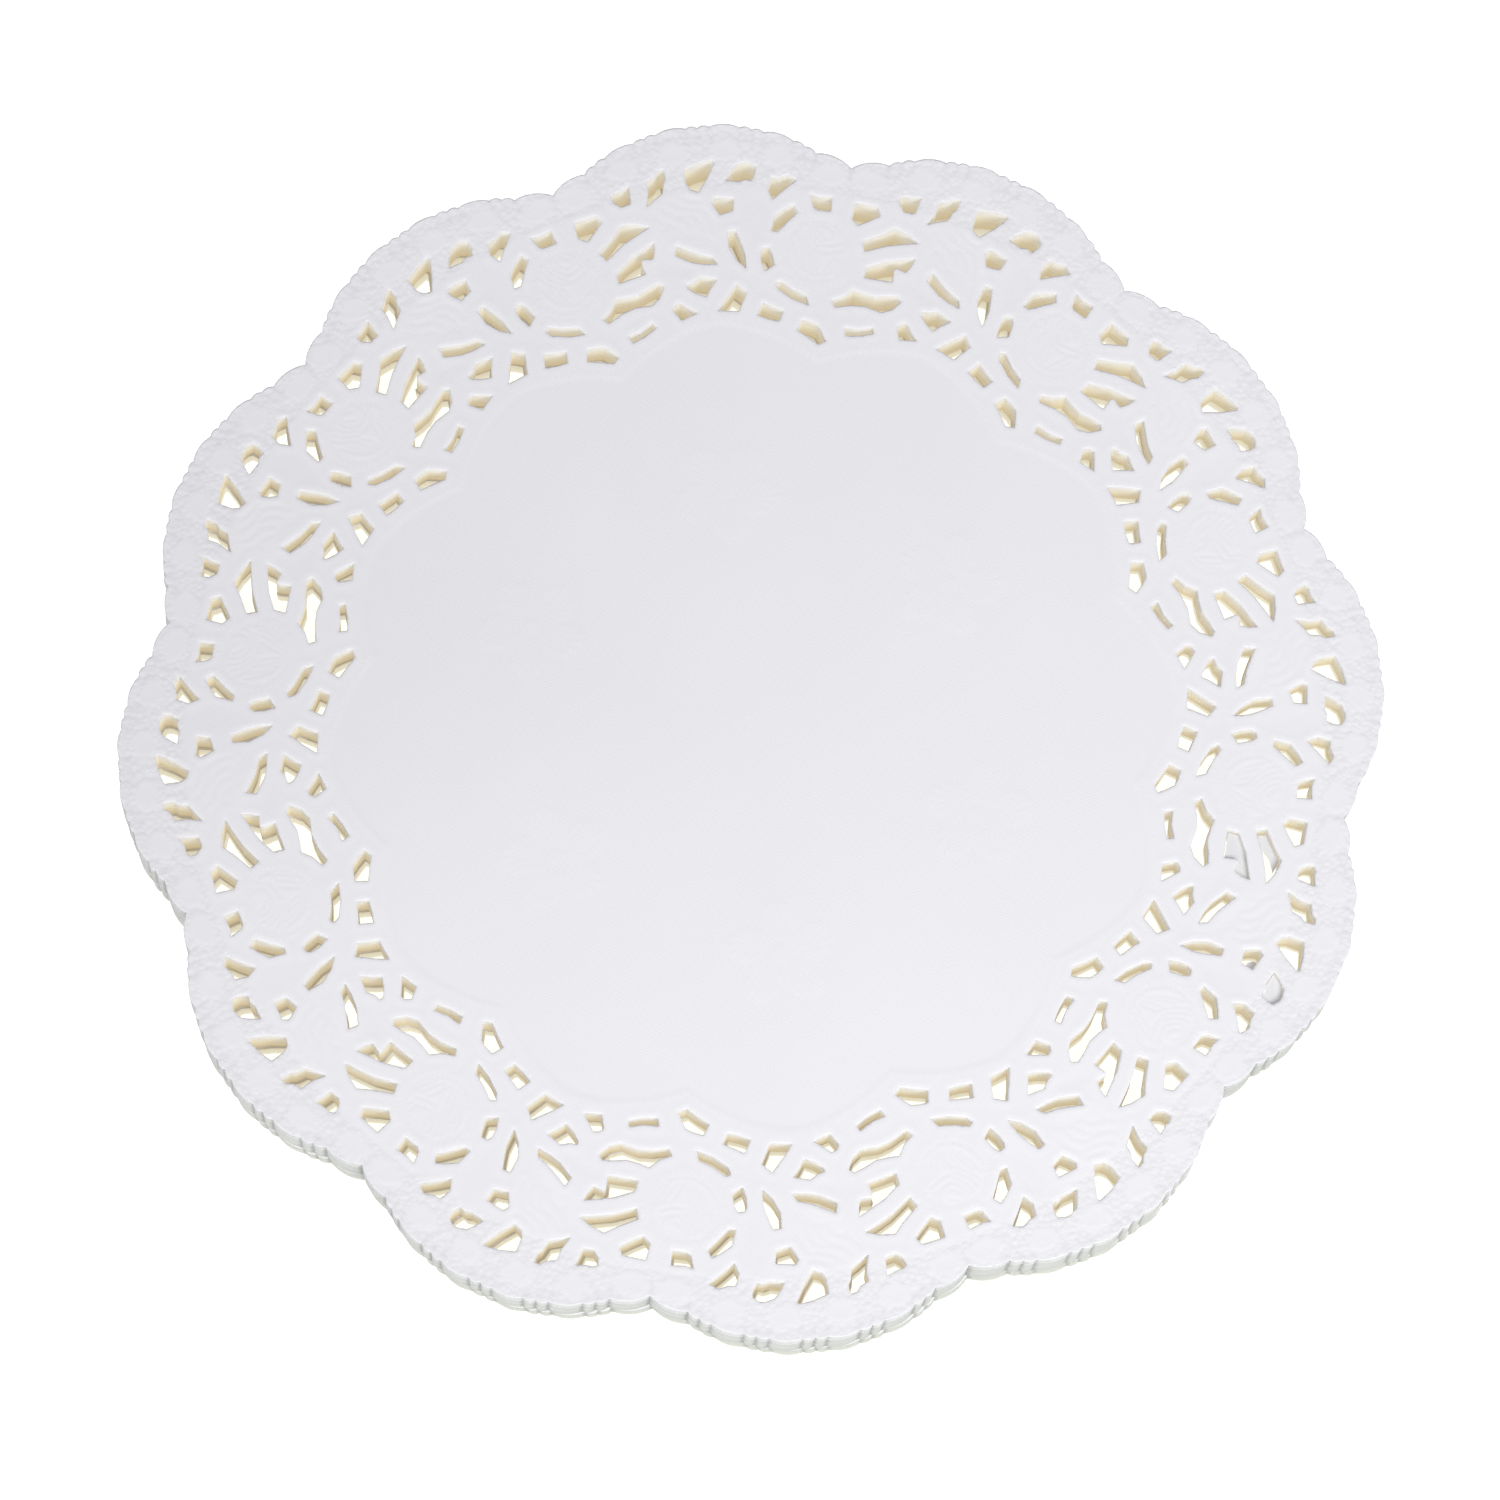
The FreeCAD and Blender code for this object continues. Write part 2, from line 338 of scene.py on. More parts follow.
# ---------------------------------------------------------------------------------------------
# The embossing of the top sheet. Places are in hundredths, heights in millimetres. Each line is
# a curve through three points of one sector.
# ---------------------------------------------------------------------------------------------
MEDALLION, MEDALLION_RADIUS = (-3.0, 84.8), 7.1
ROSE_RADIUS, ROSE_HEIGHT = 5.2, 0.08
FLUTES, FLUTE_HEIGHT = 40, 0.10  # short ribs round the rose
ROSE = [
    ((-7.3, 88.4), (-6.6, 86.2), (-3.4, 83.2)), ((-6.2, 87.8), (-5.5, 86.3), (-3.6, 84.5)),
    ((-5.3, 88.8), (-4.9, 87.1), (-3.2, 85.3)), ((-4.3, 88.7), (-3.9, 87.3), (-2.8, 86.2)),
    ((-3.4, 88.5), (-2.9, 87.6), (-2.0, 87.0)), ((-5.4, 89.4), (-3.4, 89.8), (-0.8, 89.4)),
    ((-4.2, 89.0), (-2.6, 89.2), (-1.2, 88.5)), ((-0.4, 88.9), (0.3, 88.0), (0.1, 86.9)),
    ((0.8, 88.6), (1.3, 87.6), (0.9, 86.4)), ((-2.6, 84.6), (-1.0, 84.7), (0.9, 85.6)),
    ((-2.4, 85.8), (-1.2, 86.0), (0.3, 86.6)), ((-7.6, 85.6), (-6.6, 83.4), (-5.2, 81.2)),
    ((-6.4, 84.9), (-5.4, 82.8), (-4.2, 80.5)), ((-5.0, 84.4), (-4.3, 82.6), (-3.3, 80.3)),
    ((-3.4, 83.2), (-3.0, 81.8), (-2.6, 80.2)), ((-0.4, 84.2), (-1.3, 82.2), (-2.0, 80.3)),
    ((0.7, 84.2), (0.0, 82.4), (-1.1, 80.6)), ((1.7, 84.4), (1.2, 82.8), (0.2, 81.3)),
]
CARNATION, CARNATION_RADIUS, CARNATION_HEIGHT = (20.2, 87.4), 5.6, 0.07
PETALS = [
    ((15.6, 90.2), (16.4, 88.6), (18.2, 87.4)), ((17.0, 91.2), (17.8, 89.8), (20.2, 88.6)),
    ((18.8, 92.0), (19.8, 90.6), (22.2, 89.2)), ((20.6, 92.2), (21.8, 91.0), (23.6, 90.0)),
    ((16.2, 87.4), (17.6, 87.8), (18.8, 86.0)), ((18.6, 88.9), (20.2, 87.6), (20.4, 85.6)),
    ((20.9, 88.6), (22.2, 87.0), (22.2, 84.8)), ((22.9, 89.2), (24.0, 87.0), (23.8, 84.4)),
    ((19.0, 85.2), (20.6, 84.6), (21.8, 82.8)), ((21.0, 85.0), (22.2, 83.8), (22.9, 82.4)),
]
LEAVES = [
    ((-15.4, 92.4), (-14.6, 88.8), (-14.2, 85.4)), ((-16.4, 91.2), (-15.9, 88.8), (-15.1, 86.4)),
    ((-14.1, 91.8), (-13.2, 89.2), (-13.2, 86.8)), ((12.9, 82.2), (15.4, 80.5), (18.9, 79.1)),
    ((13.2, 80.7), (15.2, 79.9), (17.2, 78.9)), ((14.8, 82.2), (16.4, 81.2), (18.4, 79.7)),
]
MIDDLE_CUSP, MIDDLE_PEAK = 64.4, 70.6      # the scalloped line round the plain middle
MIDDLE_RIBS, MIDDLE_RIB_LENGTH, MIDDLE_RIB_HEIGHT = 432, 2.2, 0.07
BLOOMS, BLOOM_RADIUS = 6, 9.5              # faint flowers in the middle
BLOOM_RING, BLOOM_BEARING = 41.0, math.radians(-46.0)
BLOOM = (BLOOM_RING * math.sin(BLOOM_BEARING), BLOOM_RING * math.cos(BLOOM_BEARING))
# Under the rim: (degrees from the scallop's middle, radius, half its length) for a lens, and
# the first two for a knot.
LENSES = [(2.55, 102.1, 2.4), (7.7, 101.0, 2.4), (13.0, 98.4, 2.9)]
LENS_HALF_WIDTH = 1.9
KNOTS = [(0.0, 102.6), (5.1, 101.8), (10.25, 99.6)]
RIM_BAND = 95.5                  # where the rim's band of relief and stipple begins
BEAD_HEIGHT, BEAD_AT = 0.10, 0.62          # the rounded bead along the edge of every opening
RIM_BEAD_HEIGHT = 0.07
CREASE_DEPTH = 0.10
# The crease in from each notch, as points at these shares of its radius.
CREASE = (1.0, 0.996, 0.992, 0.988, 0.984)
NOTCH_TREE = tree_of(np.concatenate([notch_points() * HUNDREDTH * share for share in CREASE]))
# The points that carry all this, by how far apart they are, and how far out the last two run.
ROSE_NET, CARNATION_NET, BLOOM_NET = 0.36, 0.42, 0.55
BORDER_NET, BORDER_REACH = 0.82, 108.0
MIDDLE_NET, MIDDLE_REACH = 2.4, 72.0


def folded(x, y, bearing, repeats):
    """Places turned back onto the copy of a motif that is nearest to them."""
    step = 2 * math.pi / repeats
    turns = np.round((np.arctan2(x, y) - math.radians(bearing)) / step) * step
    return (x * np.cos(turns) - y * np.sin(turns), x * np.sin(turns) + y * np.cos(turns))


def from_centre(x, y, centre, repeats):
    """Across and up from the nearest copy of a place in the sector."""
    u, v = folded(x, y, math.degrees(math.atan2(*centre)), repeats)
    return u - centre[0], v - centre[1]


def off_line(u, v, line):
    """The distance of places from a smooth curve through three points."""
    start, middle, end = (np.array(p) for p in line)
    pull = 2 * middle - (start + end) / 2
    t = np.linspace(0, 1, 8)[:, None]
    path = (1 - t) ** 2 * start + 2 * t * (1 - t) * pull + t * t * end
    best = np.full(len(u), np.inf)
    for a, b in zip(path, path[1:]):
        along = b - a
        share = ((u - a[0]) * along[0] + (v - a[1]) * along[1]) / (along @ along)
        share = np.clip(share, 0, 1)
        best = np.minimum(best, np.hypot(u - a[0] - share * along[0], v - a[1] - share * along[1]))
    return best


def hill(distance, width):
    return np.exp(-(distance / width) ** 2)


def step_down(value, edge, width):
    """One below the edge, nothing above it, with a soft step between."""
    return 0.5 - 0.5 * np.tanh((value - edge) / width)


def middle_line(x, y):
    """How far outside the scalloped line round the plain middle a place is."""
    turn = np.degrees(np.arctan2(x, y)) / SECTOR_ANGLE
    across = np.abs(1 - 2 * (turn - np.floor(turn)))
    line = MIDDLE_PEAK - (MIDDLE_PEAK - MIDDLE_CUSP) * across ** 1.5
    return np.hypot(x, y) - line


def lines_of(u, v, lines, width):
    return np.max([hill(off_line(u, v, line), width) for line in lines], axis=0)


def medallion_relief(x, y):
    u, v = from_centre(x, y, MEDALLION, SECTORS)
    radius = np.hypot(u, v)
    height = np.zeros(len(x))
    rose = np.flatnonzero(radius < ROSE_RADIUS)
    lines = lines_of(u[rose] + MEDALLION[0], v[rose] + MEDALLION[1], ROSE, 0.3)
    height[rose] = ROSE_HEIGHT - ROSE_HEIGHT * lines
    ring = np.flatnonzero((radius >= ROSE_RADIUS) & (radius < MEDALLION_RADIUS))
    rib = 0.5 + 0.5 * np.cos(FLUTES * np.arctan2(u[ring], v[ring]))
    rise = np.clip((radius[ring] - ROSE_RADIUS) / 0.5, 0, 1)
    height[ring] = FLUTE_HEIGHT * rib * rise
    return height, step_down(radius, MEDALLION_RADIUS, 0.25)


def carnation_relief(x, y):
    u, v = from_centre(x, y, CARNATION, SECTORS)
    radius = np.hypot(u, v)
    height = np.zeros(len(x))
    pad = np.flatnonzero(radius < CARNATION_RADIUS)
    lines = lines_of(u[pad] + CARNATION[0], v[pad] + CARNATION[1], PETALS, 0.34)
    height[pad] = CARNATION_HEIGHT - CARNATION_HEIGHT * lines
    return height, step_down(radius, CARNATION_RADIUS, 0.3)


def bloom_relief(x, y):
    """A five-petalled flower with veins, faint, several times round the middle."""
    u, v = from_centre(x, y, BLOOM, BLOOMS)
    radius, angle = np.hypot(u, v) / BLOOM_RADIUS, np.arctan2(u, v)
    petal = np.abs(np.cos(2.5 * angle + 0.5 * radius))
    reach = 0.45 + 0.5 * petal ** 0.7
    petals = step_down(radius, reach, 0.035)
    veins = 0.5 + 0.5 * np.cos(35 * angle + 9 * radius)
    eye = 0.03 * hill(radius, 0.14) - 0.02 * hill(radius - 0.2, 0.05)
    return petals * (0.015 + 0.06 * veins * radius) + eye


def rim_relief(x, y):
    """A smooth lens under each wide arc of the rim and a knot of florets under the small ones."""
    u, v = folded(x, y, SECTOR_ANGLE / 2, SECTORS)
    bearing = np.abs(np.degrees(np.arctan2(u, v)) - SECTOR_ANGLE / 2)
    radius = np.hypot(u, v)
    height = np.zeros(len(x))
    stipple = np.ones(len(x))
    for at, middle, half in LENSES:
        across = np.radians(bearing - at) * radius
        oval = np.hypot(across / half, (radius - middle) / LENS_HALF_WIDTH)
        height += 0.10 * hill(oval - 1, 0.18)
        stipple *= 1 - step_down(oval, 1.0, 0.1)
    for at, middle in KNOTS:
        across = np.radians(bearing - at) * radius
        knot = np.hypot(across, radius - middle)
        leaf = 0.5 + 0.5 * np.cos(6 * np.arctan2(across, radius - middle))
        height += 0.13 * hill(knot, 0.6) + 0.11 * leaf * hill(knot - 1.25, 0.4)
    band = step_down(-radius, -RIM_BAND, 0.4)
    return 0.75 * height * band, stipple * band


def relief(points):
    """How far the embossing stands up, in millimetres, and how stippled the ground is."""
    x, y = (points / HUNDREDTH).T
    hole = near(HOLE_TREE, points) / HUNDREDTH
    rim = near(RIM_TREE, points) / HUNDREDTH
    beyond = middle_line(x, y)
    height = 0.03 * step_down(-beyond, 0.0, 0.3)
    for raised, cover in (medallion_relief(x, y), carnation_relief(x, y)):
        height += raised * cover
    u, v = folded(x, y, 0.0, SECTORS)
    height += 0.05 - 0.07 * lines_of(u, v, LEAVES, 0.4)
    ring = (beyond > 0) & (beyond < MIDDLE_RIB_LENGTH)
    rib = 0.5 + 0.5 * np.cos(MIDDLE_RIBS * np.arctan2(x, y))
    fade = np.clip(beyond / 0.4, 0, 1) * np.clip((MIDDLE_RIB_LENGTH - beyond) / 0.5, 0, 1)
    height += np.where(ring, MIDDLE_RIB_HEIGHT * rib * fade, 0.0)
    height -= 0.03 * hill(beyond, 0.4)
    height += np.where(beyond < -2, bloom_relief(x, y), 0.0)
    band, stipple = rim_relief(x, y)
    height += band
    # A rounded bead runs along every cut edge, and a crease crosses it from each notch.
    height *= np.clip(hole, 0, 1)
    height += BEAD_HEIGHT * hill(hole - BEAD_AT, 0.45) + RIM_BEAD_HEIGHT * step_down(rim, 1.0, 0.3)
    notch = near(NOTCH_TREE, points) / HUNDREDTH
    height -= CREASE_DEPTH * hill(notch, 0.55)
    return np.maximum(height, 0.0), stipple


def spokes(radii, count):
    """Points on evenly spread spokes, for the ridges and the furrows between them."""
    angles = 2 * math.pi * np.arange(count) / count
    return np.concatenate([np.stack([r * np.sin(angles), r * np.cos(angles)], axis=1)
                           for r in radii])


def copies(points, centre, repeats):
    """Points laid round a place in the sector, for every repeat of it, in millimetres."""
    return np.concatenate([clockwise(points + np.array(centre), 360.0 * k / repeats)
                           for k in range(repeats)]) * HUNDREDTH


def relief_points():
    """The points that carry the embossing: dense where it is fine, and along its ridges."""
    found = [
        copies(hexagons(ROSE_NET, ROSE_RADIUS - 0.1), MEDALLION, SECTORS),
        copies(spokes((ROSE_RADIUS + 0.1, 5.8, 6.5, MEDALLION_RADIUS), 2 * FLUTES),
               MEDALLION, SECTORS),
        copies(hexagons(CARNATION_NET, CARNATION_RADIUS), CARNATION, SECTORS),
        copies(hexagons(BLOOM_NET, BLOOM_RADIUS), BLOOM, BLOOMS),
    ]
    border = hexagons(BORDER_NET, BORDER_REACH)
    keep = middle_line(*border.T) > MIDDLE_RIB_LENGTH + 0.4
    for centre, radius in ((MEDALLION, MEDALLION_RADIUS), (CARNATION, CARNATION_RADIUS)):
        keep &= np.hypot(*from_centre(*border.T, centre, SECTORS)) > radius + 0.4
    found.append(border[keep] * HUNDREDTH)
    middle = hexagons(MIDDLE_NET, MIDDLE_REACH)
    keep = middle_line(*middle.T) < -1.5
    keep &= np.hypot(*from_centre(*middle.T, BLOOM, BLOOMS)) > BLOOM_RADIUS + 1.0
    found.append(middle[keep] * HUNDREDTH)
    angles = 2 * math.pi * np.arange(2 * MIDDLE_RIBS) / (2 * MIDDLE_RIBS)
    unit = np.stack([np.sin(angles), np.cos(angles)], axis=1)
    line = -middle_line(*(unit * 1e-6).T)[:, None]
    for out in (-0.5, 0.0, 0.45, 1.3, MIDDLE_RIB_LENGTH):
        every = 2 if out <= 0 else 1
        found.append((unit * (line + out) * HUNDREDTH)[::every])
    return np.concatenate(found)


# ---------------------------------------------------------------------------------------------
# Heights
# ---------------------------------------------------------------------------------------------
def pack_height(x, y):
    """The height of the whole pack at a place, in millimetres."""
    radius = np.hypot(x, y) / (100 * HUNDREDTH)
    bearing = np.arctan2(y, x)
    height = SAG * np.maximum(0.0, radius - SAG_FROM) ** 2
    for times, cosine, sine in WAVES:
        height = height + radius ** 2 * (cosine * np.cos(times * bearing)
                                         + sine * np.sin(times * bearing))
    return MIDDLE_HEIGHT + 100 * HUNDREDTH * height


# ---------------------------------------------------------------------------------------------
# Pieces
# ---------------------------------------------------------------------------------------------
# Bits that were punched but not cleared: their outline, its sector, and how far below the top
# sheet they hang, in millimetres. The first two fill their openings, the others a part of them.
LEFT_BEHIND = [
    (OPENINGS["stepped_petal"], 4, 1.3), (OPENINGS["bean"], 5, 1.4),
    ([(5.0, 87.6), (7.4, 89.1), (9.5, 90.5), (11.9, 89.8), (9.6, 88.9), (7.9, 87.3),
      (5.3, 86.2)], 4, 1.9),
    ([(-20.8, 91.1), (-18.9, 91.3), (-18.75, 89.9), (-19.6, 89.7), (-20.5, 90.2)], 5, 2.4),
]
CHAD_THICKNESS = 0.14
CHAD_SHARE = 0.93                # their size against that outline
CHAD_TILT = (-0.06, 0.05)        # how fast they rise along X and Y
CHAD_SHADE = 1.4                 # painted shade: they are drawn greyer than the sheet, as they hang in its shade, more so than a crease


def left_behind(corners, sector):
    """The outline of a bit that hangs in an opening, a little smaller than its hole."""
    loop = opening_loop(corners, 3)
    loop = loop.mean(axis=0) + CHAD_SHARE * (loop - loop.mean(axis=0))
    return clockwise(loop, SECTOR_ANGLE * sector + PUNCH_TURN)


CHADS = [(left_behind(corners, sector), drop) for corners, sector, drop in LEFT_BEHIND]

# The meshes' points, in millimetres. A plain face has a wide net. The top one has two lines of
# points along every cut edge, for the bead, and the points of its embossing. The last number of
# a plan is how far its points keep from every cut edge.
PLAIN_NET = hexagons(6.0, 151.0)
LIP_LINES = (0.4, 0.95)
FINE_LOOPS = lace_loops(5, 3, 1.2)
COARSE_LOOPS = lace_loops(4, 3, 4.0)
TOP_POINTS = np.concatenate([set_back(FINE_LOOPS, line) for line in LIP_LINES] + [relief_points()])
TOP_PLAN = Plan(FINE_LOOPS, TOP_POINTS, 0.3)
UNDER_PLAN = Plan(FINE_LOOPS, PLAIN_NET, 1.0)
BOOK_PLAN = Plan(COARSE_LOOPS, PLAIN_NET, 1.0)

FACE_SLOT, CUT_SLOT, RIM_SLOT = range(3)     # material slots of every piece
CREASE_WIDTH = 0.5                           # of the painted shade at a notch, in millimetres


def mesh_object(name, points, faces, slots, attributes):
    """A mesh from arrays; faces is a list of arrays, one for each number of corners."""
    mesh = bpy.data.meshes.new(name)
    corners = np.concatenate([f.reshape(-1) for f in faces])
    totals = np.concatenate([np.full(len(f), f.shape[1]) for f in faces])
    starts = np.concatenate([[0], np.cumsum(totals)[:-1]])
    mesh.vertices.add(len(points))
    mesh.vertices.foreach_set("co", points.astype(np.float32).reshape(-1))
    mesh.loops.add(len(corners))
    mesh.loops.foreach_set("vertex_index", corners.astype(np.int32))
    mesh.polygons.add(len(totals))
    mesh.polygons.foreach_set("loop_start", starts.astype(np.int32))
    mesh.polygons.foreach_set("material_index", slots.astype(np.int32))
    for key, values in attributes.items():
        layer = mesh.attributes.new(key, "FLOAT", "POINT")
        layer.data.foreach_set("value", values.astype(np.float32))
    mesh.update(calc_edges=True)
    mesh.validate()
    obj = bpy.data.objects.new(name, mesh)
    bpy.context.scene.collection.objects.link(obj)
    return obj


def placed(points, shift, turn):
    """Plan points turned and moved to where the sheet lies."""
    return clockwise(points, -turn) + np.array(shift)


def chad(outline, drop, first):
    """A bit of paper left hanging in an opening: its points and its faces, numbered from first."""
    count = len(outline)
    level = pack_height(*outline.T)
    across = outline - outline.mean(axis=0)
    level = level - drop + across @ CHAD_TILT
    points = np.concatenate([np.column_stack([outline, level]),
                             np.column_stack([outline, level - CHAD_THICKNESS])])
    ring = np.arange(count) + first
    after = np.roll(ring, -1)
    walls = np.stack([ring, after, after + count, ring + count], axis=1)
    return points, [ring[None, ::-1], ring[None] + count, walls]


def wall_faces(plan, rows):
    """Four-cornered faces from each row of edge points to the next, with their slots."""
    after = np.arange(plan.edge_count) + 1
    for first, last in zip(plan.starts, plan.starts[1:]):
        after[last - 1] = first
    walls = np.concatenate([np.stack([upper, upper[after], lower[after], lower], axis=1)
                            for upper, lower in zip(rows, rows[1:])])
    on_rim = np.tile(np.arange(plan.edge_count) < plan.starts[1], len(rows) - 1)
    walls[~on_rim] = walls[~on_rim][:, ::-1]
    return walls, np.where(on_rim, RIM_SLOT, CUT_SLOT)


def notch_shade(plan):
    """Painted shade: one at a notch of the rim, falling to nothing away from it."""
    return hill(near(NOTCH_TREE, plan.points), CREASE_WIDTH)


def build(name, top_plan, bottom_plan, levels, shift, turn, embossed=False):
    """A closed piece: a top face, walls down through the levels, and an underside.

    levels is a list of (share of the pack's height, how far the edge stands out), top first."""
    edge_count = top_plan.edge_count
    top = placed(top_plan.points, shift, turn)
    bottom = placed(bottom_plan.points, shift, turn)
    height_top = pack_height(*top.T)
    height_bottom = pack_height(*bottom.T)
    raised, stipple = relief(top_plan.points) if embossed else (np.zeros(len(top)),) * 2
    edge = top[:edge_count]
    outward = np.concatenate([edge_normals(loop, i > 0) for i, loop in enumerate(top_plan.loops)])
    outward = clockwise(outward, -turn)

    points = [np.column_stack([top, height_top * levels[0][0] + raised])]
    depth = [np.full(len(top), 1 - levels[0][0])]
    rows = [np.arange(edge_count)]
    count = len(top)
    for share, out in levels[1:-1]:
        ring = edge + outward * out
        points.append(np.column_stack([ring, height_top[:edge_count] * share]))
        depth.append(np.full(edge_count, 1 - share))
        rows.append(np.arange(count, count + edge_count))
        count += edge_count
    points.append(np.column_stack([bottom, height_bottom * levels[-1][0]]))
    depth.append(np.full(len(bottom), 1 - levels[-1][0]))
    rows.append(np.arange(count, count + edge_count))

    walls, wall_slots = wall_faces(top_plan, rows)
    tris = np.concatenate([top_plan.triangles, bottom_plan.triangles[:, ::-1] + count])
    faces = [tris, walls]
    slots = [np.full(len(tris), FACE_SLOT), wall_slots]

    # Painted shade, in the attribute crease: dark at each notch of the rim, and darker still on the
    # bits left hanging in the openings, which lie in shade.
    painted_shades = [notch_shade(top_plan)]
    painted_shades += [painted_shades[0][:edge_count]] * (len(rows) - 2)
    painted_shades += [notch_shade(bottom_plan)]
    if embossed:
        count += len(bottom)
        for outline, drop in CHADS:
            chad_points, chad_faces = chad(outline, drop, count)
            count += len(chad_points)
            points.append(chad_points)
            faces += chad_faces
            slots += [np.full(len(f), FACE_SLOT) for f in chad_faces]
            depth.append(np.zeros(len(chad_points)))
            painted_shades.append(np.full(len(chad_points), CHAD_SHADE))
    points, slots = np.concatenate(points), np.concatenate(slots)
    pad = np.zeros(len(points) - len(top))
    obj = mesh_object(name, points * MM, faces, slots,
                      {"depth": np.concatenate(depth), "crease": np.concatenate(painted_shades),
                       "raised": np.concatenate([raised, pad]),
                       "stipple": np.concatenate([stipple, pad])})
    smooth = np.zeros(len(slots), bool)
    smooth[:len(tris)] = True
    obj.data.polygons.foreach_set("use_smooth", smooth)
    return obj


# ---------------------------------------------------------------------------------------------
# Materials
# ---------------------------------------------------------------------------------------------
class Nodes:
    """A new material's node tree, with short ways to add nodes to it."""

    def __init__(self, name):
        self.material = bpy.data.materials.new(name)
        self.material.use_nodes = True
        self.tree = self.material.node_tree
        self.tree.nodes.clear()
        self.shader = self.add("ShaderNodeBsdfPrincipled")
        output = self.add("ShaderNodeOutputMaterial")
        self.link(self.shader.outputs[0], output.inputs[0])
        self.place = self.add("ShaderNodeTexCoord").outputs["Object"]

    def add(self, kind, **values):
        made = self.tree.nodes.new(kind)
        for key, value in values.items():
            setattr(made, key, value)
        return made

    def link(self, source, socket):
        if isinstance(source, (int, float, tuple)):
            socket.default_value = source
        else:
            self.tree.links.new(source, socket)

    def attribute(self, name):
        return self.add("ShaderNodeAttribute", attribute_name=name).outputs["Fac"]

    def math(self, kind, first, second=0.0, third=0.0):
        made = self.add("ShaderNodeMath", operation=kind)
        for value, socket in zip((first, second, third), made.inputs):
            self.link(value, socket)
        return made.outputs[0]

    def noise(self, scale, detail=3.0, place=None):
        made = self.add("ShaderNodeTexNoise")
        self.link(place or self.place, made.inputs["Vector"])
        made.inputs["Scale"].default_value = scale
        made.inputs["Detail"].default_value = detail
        return made.outputs["Fac"]

    def bands(self, period, direction):
        """Smooth bands across one axis, with the period in metres."""
        made = self.add("ShaderNodeTexWave", wave_type="BANDS", bands_direction=direction)
        self.link(self.place, made.inputs["Vector"])
        made.inputs["Scale"].default_value = math.pi / (10 * period)
        made.inputs["Distortion"].default_value = 1.2
        made.inputs["Detail Scale"].default_value = 2.0
        return made.outputs["Fac"]

    def stretched(self, scale):
        """Object places with a scale of their own along each axis."""
        made = self.add("ShaderNodeVectorMath", operation="MULTIPLY")
        self.link(self.place, made.inputs[0])
        made.inputs[1].default_value = scale
        return made.outputs[0]

    def ramp(self, source, stops):
        made = self.add("ShaderNodeValToRGB")
        self.link(source, made.inputs[0])
        elements = made.color_ramp.elements
        while len(elements) < len(stops):
            elements.new(0.5)
        for element, (position, colour) in zip(elements, stops):
            element.position = position
            element.color = (*colour, 1)
        return made.outputs[0]

    def tint(self, colour, shade):
        """The colour, multiplied by a grey value that may run a little above one."""
        made = self.add("ShaderNodeVectorMath", operation="SCALE")
        self.link(colour, made.inputs[0])
        self.link(shade, made.inputs["Scale"])
        return made.outputs[0]

    def bump(self, height):
        """Relief from a height in millimetres."""
        made = self.add("ShaderNodeBump")
        made.inputs["Strength"].default_value = 1.0
        made.inputs["Distance"].default_value = MM
        self.link(height, made.inputs["Height"])
        self.link(made.outputs[0], self.shader.inputs["Normal"])


PAPER_COLOUR = (0.795, 0.793, 0.817)
LINEN_PERIOD = 0.00062           # metres
SHEET_PERIOD = 0.00024           # metres; two sheets of 0.12 mm
WALL_SCALE = (500.0, 500.0, 7000.0)          # the edge's roughness is drawn out along each sheet


def paper_face():
    """Embossed soft white paper: cloudy fibres, a fine linen and a stippled rim, with painted light
    and shade: the raised embossing lighter, the stipple, the notches and the bits left in the
    openings darker.
    """
    nodes = Nodes("paper_face")
    nodes.shader.inputs["Roughness"].default_value = 0.78
    nodes.shader.inputs["Specular IOR Level"].default_value = 0.3
    nodes.shader.inputs["Sheen Weight"].default_value = 0.06
    cloud = nodes.noise(45.0, 4.0)
    fibre = nodes.noise(1400.0, 6.0)
    linen = nodes.math("ADD", nodes.bands(LINEN_PERIOD, "X"), nodes.bands(LINEN_PERIOD, "Y"))
    cells = nodes.add("ShaderNodeTexVoronoi", feature="F1")
    nodes.link(nodes.place, cells.inputs["Vector"])
    cells.inputs["Scale"].default_value = 720.0
    dots = nodes.math("MULTIPLY", cells.outputs["Distance"], nodes.attribute("stipple"))
    shade = nodes.math("MULTIPLY_ADD", cloud, 0.03, 0.985)
    # Painted highlight: the raised embossing is drawn lighter.
    shade = nodes.math("MULTIPLY_ADD", nodes.attribute("raised"), 0.12, shade)
    # Painted shade: the pits of the stipple are drawn darker.
    shade = nodes.math("MULTIPLY_ADD", dots, -0.04, shade)
    # Painted shade at the notches, and on the bits left in the openings.
    shade = nodes.math("MULTIPLY_ADD", nodes.attribute("crease"), -0.05, shade)
    nodes.link(nodes.tint(PAPER_COLOUR, shade), nodes.shader.inputs["Base Color"])
    height = nodes.math("MULTIPLY", fibre, 0.022)
    height = nodes.math("MULTIPLY_ADD", linen, 0.012, height)
    height = nodes.math("MULTIPLY_ADD", dots, -0.14, height)
    nodes.bump(height)
    return nodes.material


